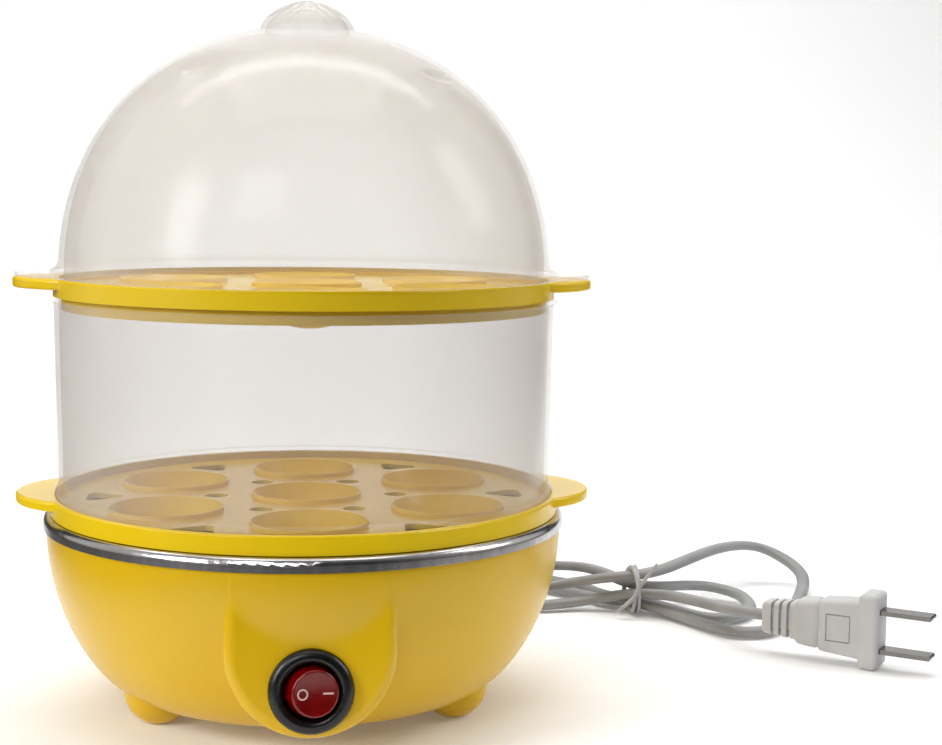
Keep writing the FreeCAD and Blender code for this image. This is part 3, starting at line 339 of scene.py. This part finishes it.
def addSoftbox(name, place, target, size, power):
    data = bpy.data.lights.new(name, "AREA")
    data.shape = "RECTANGLE"
    data.size, data.size_y = size
    data.energy = power
    piece = bpy.data.objects.new(name, data)
    piece.location = place
    piece.rotation_euler = (Vector(target) - Vector(place)).to_track_quat("-Z", "Y").to_euler()
    bpy.context.collection.objects.link(piece)


def addWorld():
    # bright studio all round, dimmer on the side of the camera
    world = bpy.data.worlds.new("studioLight")
    world.use_nodes = True
    tree = world.node_tree
    tree.nodes.clear()
    place = addNode(tree, "ShaderNodeTexCoord")
    split = addNode(tree, "ShaderNodeSeparateXYZ", {"Vector": place.outputs["Generated"]})
    ramp = addNode(tree, "ShaderNodeMapRange", {
        "Value": split.outputs["Y"], "From Min": studio["dimUpTo"], "From Max": studio["brightFrom"],
        "To Min": studio["frontDim"], "To Max": studio["world"]})
    light = addNode(tree, "ShaderNodeBackground", {
        "Color": linearColour("#FFFEFC"), "Strength": ramp.outputs[0]})
    addNode(tree, "ShaderNodeOutputWorld", {"Surface": light.outputs[0]})
    bpy.context.scene.world = world


addStudio()
addWorld()
addSoftbox("keyLeft", (-0.80, -0.48, 0.46), (0, 0, 0.10), (0.26, 0.50), 4.8)
addSoftbox("fillRight", (0.95, -0.05, 0.62), (0, 0, 0.12), (0.28, 0.55), 2.8)
addSoftbox("frontHigh", (-0.42, -0.95, 0.80), (0, 0, 0.08), (0.45, 0.45), 3.2)
addSoftbox("overhead", (0.0, 0.10, 1.15), (0, 0, 0), (0.9, 0.9), 5.4)
addSoftbox("wallWash", (0.0, 0.45, 1.30), (0, 1.1, 0.3), (1.8, 0.3), 9.2)
bpy.context.scene.view_settings.view_transform = "Standard"
print("studio lit")


# moulded polypropylene, glossy from the mould: deep yolk yellow with a faint orange peel
def glossyPolypropylene(name, darkHex, lightHex, roughness):
    material, tree = newMaterial(name)
    cloud = objectNoise(tree, 60.0)
    peel = objectNoise(tree, 2.4, detail=1.0)
    shader = addNode(tree, "ShaderNodeBsdfPrincipled", {
        "Base Color": colourBetween(tree, cloud, darkHex, lightHex),
        "Roughness": spread(tree, peel, roughness - 0.01, roughness + 0.01),
        "IOR": 1.49,
        "Subsurface Weight": 0.06,
        "Subsurface Radius": (0.9, 0.55, 0.1),
        "Subsurface Scale": 2.0 * mm,
        "Normal": bumpFrom(tree, peel, 0.006, 0.5)})
    finishMaterial(tree, shader)
    return material


# the collar round the upper tray is thin and hides next to nothing: veilLeft is its share of the veil
collar = {"lowMm": 118.8, "fadeMm": 0.4, "veilLeft": 0.06}


# natural polypropylene: milky, clear enough to see through, whiter where the eye runs along the wall
def milkyPolypropylene(name, faceOn, glancing, thinCollar=False):
    material, tree = newMaterial(name)
    flow = objectNoise(tree, 26.0, stretch=(1, 1, 0.35))
    glance = addNode(tree, "ShaderNodeLayerWeight", {"Blend": 0.35})
    alpha = addNode(tree, "ShaderNodeMapRange", {
        "Value": glance.outputs["Facing"], "From Min": 0.05, "From Max": 0.95,
        "To Min": faceOn, "To Max": glancing})
    veil = alpha.outputs["Result"]
    if thinCollar:
        place = addNode(tree, "ShaderNodeTexCoord")
        split = addNode(tree, "ShaderNodeSeparateXYZ", {"Vector": place.outputs["Object"]})
        thin = addNode(tree, "ShaderNodeMapRange", {
            "Value": split.outputs["Z"], "From Min": collar["lowMm"] * mm,
            "From Max": (collar["lowMm"] + collar["fadeMm"]) * mm,
            "To Min": 1.0, "To Max": collar["veilLeft"]})
        veil = addNode(tree, "ShaderNodeMath", {0: veil, 1: thin.outputs["Result"]},
                       operation="MULTIPLY").outputs[0]
    shader = addNode(tree, "ShaderNodeBsdfPrincipled", {
        "Base Color": colourBetween(tree, flow, "#D1CCC9", "#DAD6D3"),
        "Roughness": spread(tree, flow, 0.10, 0.20),
        "IOR": 1.49,
        "Alpha": veil})
    finishMaterial(tree, shader)
    return material


# the brushing is drawn coarser than on real steel, so that it shows
steelWear = {"brushingMm": 0.5, "patchesPerRadian": 26.0}


# stainless steel sheet, drawn and polished, with brushing that runs round the axis
def turnedStainless(name, darkHex, lightHex, roughness):
    material, tree = newMaterial(name)
    place = addNode(tree, "ShaderNodeTexCoord")
    split = addNode(tree, "ShaderNodeSeparateXYZ", {"Vector": place.outputs["Object"]})
    angle = addNode(tree, "ShaderNodeMath", {0: split.outputs["Y"], 1: split.outputs["X"]},
                    operation="ARCTAN2")
    flat = addNode(tree, "ShaderNodeVectorMath", {0: place.outputs["Object"], 1: (1, 1, 0)},
                   operation="MULTIPLY")
    radius = addNode(tree, "ShaderNodeVectorMath", {0: flat.outputs["Vector"]}, operation="LENGTH")
    around = addNode(tree, "ShaderNodeCombineXYZ", {"X": angle.outputs[0], "Y": 0.0, "Z": 0.0})
    rings = addNode(tree, "ShaderNodeCombineXYZ", {
        "X": radius.outputs["Value"], "Y": split.outputs["Z"], "Z": 0.0})
    brush = addNode(tree, "ShaderNodeTexNoise", {
        "Vector": rings.outputs[0], "Scale": 1 / (steelWear["brushingMm"] * mm), "Detail": 3.0})
    handling = addNode(tree, "ShaderNodeTexNoise", {
        "Vector": around.outputs[0], "Scale": steelWear["patchesPerRadian"], "Detail": 4.0})
    shader = addNode(tree, "ShaderNodeBsdfPrincipled", {
        "Base Color": colourBetween(tree, brush.outputs["Fac"], darkHex, lightHex),
        "Metallic": 1.0,
        "Roughness": spread(tree, handling.outputs["Fac"], roughness - 0.05, roughness + 0.14),
        "Normal": bumpFrom(tree, brush.outputs["Fac"], 0.01, 0.35)})
    finishMaterial(tree, shader)
    return material


def plainMetal(name, darkHex, lightHex, roughness, grainMm):
    material, tree = newMaterial(name)
    grain = objectNoise(tree, grainMm, detail=4.0)
    shader = addNode(tree, "ShaderNodeBsdfPrincipled", {
        "Base Color": colourBetween(tree, grain, darkHex, lightHex),
        "Metallic": 1.0,
        "Roughness": spread(tree, grain, roughness - 0.06, roughness + 0.08),
        "Normal": bumpFrom(tree, grain, 0.01, 0.3)})
    finishMaterial(tree, shader)
    return material


def plainPlastic(name, darkHex, lightHex, roughness, grainMm, bumpMm=0.03):
    material, tree = newMaterial(name)
    grain = objectNoise(tree, grainMm, detail=3.0)
    shader = addNode(tree, "ShaderNodeBsdfPrincipled", {
        "Base Color": colourBetween(tree, grain, darkHex, lightHex),
        "Roughness": spread(tree, grain, roughness - 0.05, roughness + 0.05),
        "IOR": 1.52,
        "Normal": bumpFrom(tree, grain, bumpMm, 0.5)})
    finishMaterial(tree, shader)
    return material


# dyed clear polycarbonate: deep red that brightens where light gets through an edge
def redPolycarbonate():
    material, tree = newMaterial("redPolycarbonate")
    cloud = objectNoise(tree, 3.0)
    shader = addNode(tree, "ShaderNodeBsdfPrincipled", {
        "Base Color": colourBetween(tree, cloud, "#690202", "#7D0404"),
        "Roughness": 0.17,
        "IOR": 1.50,
        "Subsurface Weight": 0.5,
        "Subsurface Radius": (1.0, 0.08, 0.05),
        "Subsurface Scale": 2.5 * mm,
        "Coat Weight": 0.1,
        "Coat Roughness": 0.15})
    finishMaterial(tree, shader)
    return material


yolkPp = glossyPolypropylene("yolkPolypropylene", "#DDB100", "#E3B802", 0.26)
trayPp = glossyPolypropylene("trayPolypropylene", "#F1C906", "#F5D00C", 0.24)
satinPp = glossyPolypropylene("coverPolypropylene", "#DCAE08", "#E2B40C", 0.42)
milkyPp = milkyPolypropylene("milkyPolypropylene", 0.15, 0.46)
housingPp = milkyPolypropylene("collarPolypropylene", 0.16, 0.46, thinCollar=True)
stainless = turnedStainless("polishedStainless", "#B9B6B6", "#D2D0D0", 0.16)
blackNylon = plainPlastic("blackNylon", "#040506", "#07080A", 0.30, 0.7)
redClear = redPolycarbonate()
markWhite = plainPlastic("markWhite", "#D9B4AE", "#E2C2BC", 0.45, 1.0)
nickel = plainMetal("nickelPlate", "#74726F", "#7C7A77", 0.20, 30.0)
zincSteel = plainMetal("zincPlatedSteel", "#8E8F92", "#A8A9AC", 0.36, 2.5)
sheathSteel = plainMetal("annealedSheath", "#55504C", "#6C6660", 0.48, 3.0)
spreaderMetal = plainMetal("pressedAluminium", "#B4B6B8", "#CBCDCF", 0.40, 4.0)
stampedBrass = plainMetal("stampedBrass", "#B08A3E", "#C9A452", 0.30, 2.0)
steatite = plainPlastic("steatite", "#D8D5CC", "#E6E3DA", 0.55, 1.2)
glassFibre = plainPlastic("glassFibreSleeve", "#D9D8D2", "#ECEBE6", 0.75, 0.8, 0.12)
lampGlass = plainPlastic("lampGlass", "#E08A5A", "#F0A070", 0.08, 6.0, 0.0)
brownWire = plainPlastic("brownInsulation", "#3E2416", "#4E2F1E", 0.42, 2.0)
blueWire = plainPlastic("blueInsulation", "#174A94", "#2159A8", 0.42, 2.0)
whiteWire = plainPlastic("whiteInsulation", "#D0D0D0", "#DEDEDE", 0.42, 2.0)

finishes = {
    yolkPp: ["base_shell"], trayPp: ["lower_tray", "upper_tray"], satinPp: ["bottom_cover"],
    milkyPp: ["lid"], housingPp: ["middle_housing"], stainless: ["heating_dish"],
    blackNylon: ["switch_housing"], redClear: ["rocker"], markWhite: ["rocker_marks", "plunger"],
    nickel: ["plug_blades", "element_pins", "thermal_fuse"],
    zincSteel: ["cover_screws", "dish_screws", "dish_brackets", "thermostat_clip", "plunger_spring"],
    sheathSteel: ["heating_element"], spreaderMetal: ["heat_spreader"],
    stampedBrass: ["thermostat_tabs", "switch_terminals", "contact_bridge"], steatite: ["thermostat"],
    glassFibre: ["fuse_sleeve"], lampGlass: ["neon_lamp"], brownWire: ["live_wire"],
    blueWire: ["neutral_wire", "lamp_wire"], whiteWire: ["switched_wire"],
    cordPvc: ["cord_bushing", "strain_relief"], plugPvc: ["plug_body"]}
for material, names in finishes.items():
    for name in names:
        for slot in nodes[name].material_slots:
            slot.material = material
print("finishes given to", sum(len(names) for names in finishes.values()), "nodes")
